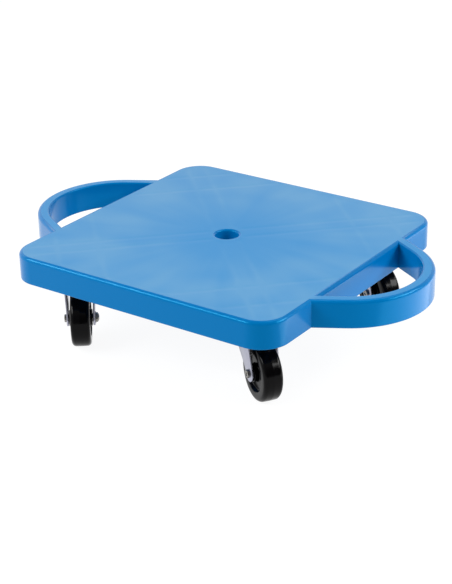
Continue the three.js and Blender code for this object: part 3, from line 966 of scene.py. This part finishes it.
def makeBolt():
    size = inMetres(boltLook)

    def reach(z, turn):
        depth = size.threadDepth * abs(2 * turn - 1) if z > size.threadStart else 0
        return min(size.shank - depth, size.shank - size.endChamfer + (size.end - z))

    face, end, slack = size.headFace, size.headEnd, size.coneSlack
    corner = hexCorner(size.headFlats) + slack
    floor = end + size.dishDepth
    cone = lathe([
        (0, floor), (size.dish - size.dishDepth / 2, floor), (size.dish, end),
        (size.headFlats / 2 - slack, end), (corner, end + size.headChamfer), (corner, face), (0, face)], 48)
    head = makeObject(hexBlock(size.headFlats, end, face))
    combine(head, cone, "INTERSECT")
    combine(head, windRod(reach, size.pitch, face - size.overlap, size.end, threadSides), "UNION")
    head.data.transform(alongAxle)
    return smooth(head, 25)


setFourTimes(makeBolt(), "hex_bolt", axleTurn, "_swivel_body", "steel", steel, "_axle_bolt")


nutLook = {
    "bore": 3.5, "flats": 11, "flange": 7.8, "face": 18.8, "flangeRim": 0.5, "flangeTop": 20,
    "hexStart": 19.3, "hexEnd": 22.2, "hexChamfer": 0.6, "coneSlack": 0.2, "capInset": 0.3,
    "rimLow": 0.2, "rimHigh": 0.3, "rimBlend": 0.4,
    "collar": 4.9, "collarStart": 19.8, "end": 23.2, "collarRound": 0.8,
}


def makeNut():
    size = inMetres(nutLook)
    face, end, inset = size.face, size.hexEnd, size.capInset
    corner = hexCorner(size.flats)
    wide = corner + size.coneSlack
    body = makeObject(hexBlock(size.flats, size.hexStart, end))
    cone = lathe([(0, face), (wide, face), (wide, end - size.hexChamfer), (size.flats / 2 - inset, end),
                  (0, end)], 48)
    combine(body, cone, "INTERSECT")
    flange = roundCorners([
        (0, face, 0), (size.flange, face, size.rimLow), (size.flange, face + size.flangeRim, size.rimHigh),
        (corner - inset, size.flangeTop, size.rimBlend), (0, size.flangeTop, 0)], 3)
    combine(body, lathe(flange, 64), "UNION")
    combine(body, turned(size.collar, size.collarStart, size.end, 48, 0, size.collarRound), "UNION")
    combine(body, drill(size.bore, 32))
    body.data.transform(alongAxle)
    return smooth(body, 25)


setFourTimes(makeNut(), "flange_nut", axleTurn, "_swivel_body", "steel", steel, "_axle_nut")
print("casters made")


# Balls in their retainers, set round the kingpin by Geometry Nodes

# Both dictionaries are named as the tree's inputs
ballLook = {
    "Ball Radius": 2.5, "Retainer Width": 3, "Retainer Thickness": 1, "Upper Pitch Radius": 17,
    "Upper Height": -5.3, "Lower Pitch Radius": 12, "Lower Height": -13.4,
}
ballCounts = {"Upper Balls": 9, "Lower Balls": 6}


def ballTree():
    tree, given = startTree("ball_races", {
        **dict.fromkeys(ballLook, "Float"), **dict.fromkeys(ballCounts, "Int")})
    ball = addNode(tree, "GeometryNodeMeshIcoSphere", {"Radius": given["Ball Radius"], "Subdivisions": 3})
    section = addNode(tree, "GeometryNodeCurvePrimitiveQuadrilateral", {
        "Width": given["Retainer Width"], "Height": given["Retainer Thickness"]})
    races = []
    for end in ("Upper", "Lower"):
        pitch = given[end + " Pitch Radius"]
        ring = addNode(tree, "GeometryNodeMeshCircle", {"Vertices": given[end + " Balls"], "Radius": pitch})
        balls = addNode(tree, "GeometryNodeInstanceOnPoints", {"Points": ring, "Instance": ball})
        path = addNode(tree, "GeometryNodeCurvePrimitiveCircle", {"Resolution": 64, "Radius": pitch})
        retainer = addNode(tree, "GeometryNodeCurveToMesh", {"Curve": path, "Profile Curve": section})
        both = addNode(tree, "GeometryNodeJoinGeometry", {0: [balls, retainer]})
        lift = addNode(tree, "ShaderNodeCombineXYZ", {"Z": given[end + " Height"]})
        races.append(addNode(tree, "GeometryNodeTransform", {"Geometry": both, "Translation": lift}))
    finishTree(tree, given, addNode(tree, "GeometryNodeJoinGeometry", {0: races}))
    return tree


def makeBalls():
    balls = makeObject(([], []))
    sizes = {name: value * mm for name, value in ballLook.items()}
    runTree(balls, ballTree(), {**sizes, **ballCounts, "Material": steel})
    turnOutward(balls.data)
    return smooth(balls, 40)


setFourTimes(makeBalls(), "ball_races", swivelTurn, "_ball_body", "steel", steel,
             "_upper_balls", "_lower_balls")


# Plate screws: pan heads with a cross recess, set by Geometry Nodes with a seeded turn

screwLook = {
    "shank": 2.3, "core": 1.85, "pitch": 2.0, "tip": 3, "length": 18, "headSeat": -2.8, "headHeight": 2.8,
    "head": 4.75, "headEdge": 0.2, "shoulderDrop": 1.54, "shoulderRound": 1.2, "crown": 3.5625,
    "crownRound": 0.6, "recess": 2.4, "recessWall": 0.55, "recessDepth": 1.7, "recessFoot": 1.08,
    "recessFootWall": 0.385, "overlap": 0.5,
}
screwSeed, screwSides, bluntShare = 4, 16, 0.05


def makeScrew():
    size = inMetres(screwLook)
    seat = size.headSeat
    top = seat - size.headHeight

    def reach(z, turn):
        crest = max(0, 1 - abs(2 * turn - 1) * 2)
        taper = min(1, bluntShare + (size.length - z) / size.tip)
        return (size.core + (size.shank - size.core) * crest) * taper

    head = roundCorners([
        (0, top, 0), (size.crown, top, size.crownRound),
        (size.head, seat - size.shoulderDrop, size.shoulderRound), (size.head, seat, size.headEdge),
        (0, seat, 0)], 4)
    screw = makeObject(lathe(head, 36))
    arm = loft([(cornersOf(size.recess, size.recessWall), top - size.overlap),
                (cornersOf(size.recessFoot, size.recessFootWall), top + size.recessDepth)])
    for turn in (0, math.pi / 2):
        combine(screw, moved(arm, aboutZ(turn)))
    combine(screw, windRod(reach, size.pitch, seat - size.overlap, size.length, screwSides), "UNION")
    return smooth(screw, 35)


def screwTree():
    tree, given = startTree("plate_screws", {
        **dict.fromkeys((*ribPlaces, "Seat Height"), "Float"), "Screw": "Object", "Seed": "Int"})
    screw = addNode(tree, "GeometryNodeObjectInfo", {"Object": given["Screw"], "As Instance": True})
    corner = ribCrossings(tree, given, given["Seat Height"])
    places = [addNode(tree, "GeometryNodeTransform", {
        "Geometry": corner, "Rotation": (0, 0, math.pi / 4 + quarter * math.pi / 2)}) for quarter in range(4)]
    whole = addNode(tree, "GeometryNodeJoinGeometry", {0: places})
    chance = addNode(tree, "FunctionNodeRandomValue", {3: math.pi, "Seed": given["Seed"]})
    turn = addNode(tree, "ShaderNodeCombineXYZ", {"Z": chance.outputs[1]})
    screws = addNode(tree, "GeometryNodeInstanceOnPoints", {
        "Points": whole, "Instance": screw.outputs["Geometry"], "Rotation": turn})
    finishTree(tree, given, screws)
    return tree


def makeScrews():
    screw = makeScrew()
    screws = makeObject(([], []), "plate_screws")
    runTree(screws, screwTree(), {
        **ribPlaces, "Seat Height": plateTop, "Screw": screw, "Seed": screwSeed, "Material": steel})
    remove(screw)
    nodes = [name + "_screw_" + str(i) for name in casterNames for i in range(1, 5)]
    finishPiece(screws, "board", "screw_steel", steel, *nodes)


makeScrews()
print("balls and screws made")


# Stage, light and camera

stageLook = {
    "floorSize": 60000, "floorColour": "5C5C5C", "floorGlow": 0.93, "glowColour": "FFFFFF",
    "backBright": 1.1, "frontBright": 0.1, "aboveBright": 0.4, "backAzimuthDegrees": 155,
}
cameraLook = {
    "azimuthDegrees": 35.59, "elevationDegrees": 24.65, "rollDegrees": -1.22,
    "distance": 1848, "targetX": 103.5, "targetY": -149.5, "focalPixels": 1536, "sensorWidth": 36,
}
imageHeight = 584


def makeFloor():
    half = stageLook["floorSize"] * mm / 2
    points = [(x, y, 0) for x, y in cornersOf(half, half)]
    floor = makeObject((points, [(0, 1, 2, 3)]), "floor")
    material, tree, shader = startMaterial("pale floor")
    setInputs(shader, {
        "Base Color": hexColour(stageLook["floorColour"]), "Roughness": 1.0, "Specular IOR Level": 0.0,
        "Emission Color": hexColour(stageLook["glowColour"]), "Emission Strength": stageLook["floorGlow"]})
    floor.data.materials.append(material)


def makeWorld():
    # A white cyclorama: brightest low down behind the board, dim towards the front and overhead
    world = bpy.data.worlds.new("studio")
    scene.world = world
    world.use_nodes = True
    tree = world.node_tree
    direction = addNode(tree, "ShaderNodeTexCoord").outputs["Generated"]
    azimuth = math.radians(stageLook["backAzimuthDegrees"])
    behind = addNode(tree, "ShaderNodeVectorMath", {
        0: direction, 1: (math.cos(azimuth), math.sin(azimuth), 0)}, operation="DOT_PRODUCT")
    low = addNode(tree, "ShaderNodeMapRange", {
        "Value": behind.outputs["Value"], "From Min": -0.9, "From Max": 0.9,
        "To Min": stageLook["frontBright"], "To Max": stageLook["backBright"]})
    height = addNode(tree, "ShaderNodeSeparateXYZ", {0: direction}).outputs["Z"]
    above = addNode(tree, "ShaderNodeMapRange", {
        "Value": height, "From Min": 0.48, "From Max": 0.72}, interpolation_type="SMOOTHSTEP")
    bright = addNode(tree, "ShaderNodeMix", {"Factor": above, "A": low, "B": stageLook["aboveBright"]})
    setInputs(tree.nodes["Background"], {"Strength": bright, "Color": (1, 1, 1, 1)})


lightLook = {
    # Direction and height of each softbox, its distance, width and height, and how bright its face is
    "front box": {"azimuthDegrees": -128, "lift": 1450, "distance": 1950,
                  "width": 1700, "height": 800, "bright": 10.2},
    "side box": {"azimuthDegrees": 22, "lift": 1250, "distance": 2000,
                 "width": 1700, "height": 700, "bright": 11},
    "floor card": {"azimuthDegrees": 22, "lift": 4, "distance": 860,
                   "width": 900, "height": 900, "bright": 1.5, "facesUp": True},
    "overhead box": {"azimuthDegrees": 60, "lift": 2300, "distance": 900,
                     "width": 1400, "height": 1400, "bright": 1.6},
}


def addLights():
    for name, look in lightLook.items():
        azimuth = math.radians(look["azimuthDegrees"])
        reach, width, height = look["distance"] * mm, look["width"] * mm, look["height"] * mm
        light = bpy.data.lights.new(name, "AREA")
        light.shape = "RECTANGLE"
        light.size, light.size_y = width, height
        light.energy = look["bright"] * math.pi * width * height
        thing = bpy.data.objects.new(name, light)
        thing.location = (reach * math.cos(azimuth), reach * math.sin(azimuth), look["lift"] * mm)
        aim = Vector((0, 0, 1)) if look.get("facesUp") else Vector((0, 0, deckTop)) - thing.location
        thing.rotation_euler = aim.to_track_quat("-Z", "Y").to_euler()
        thing.visible_camera = False
        scene.collection.objects.link(thing)


def makeCamera():
    azimuth, elevation, roll = (math.radians(cameraLook[key]) for key in (
        "azimuthDegrees", "elevationDegrees", "rollDegrees"))
    target = Matrix.Translation((cameraLook["targetX"] * mm, cameraLook["targetY"] * mm, deckTop))
    turn = aboutZ(azimuth) @ Matrix.Rotation(math.pi / 2 - elevation, 4, "X") @ aboutZ(roll)
    camera = bpy.data.objects.new("camera", bpy.data.cameras.new("camera"))
    camera.matrix_world = target @ turn @ Matrix.Translation((0, 0, cameraLook["distance"] * mm))
    camera.data.sensor_width = cameraLook["sensorWidth"]
    camera.data.lens = cameraLook["focalPixels"] / imageHeight * cameraLook["sensorWidth"]
    scene.collection.objects.link(camera)
    scene.camera = camera


makeFloor()
makeWorld()
addLights()
makeCamera()
scene.view_settings.view_transform = "Standard"
print("stage, light and camera made")
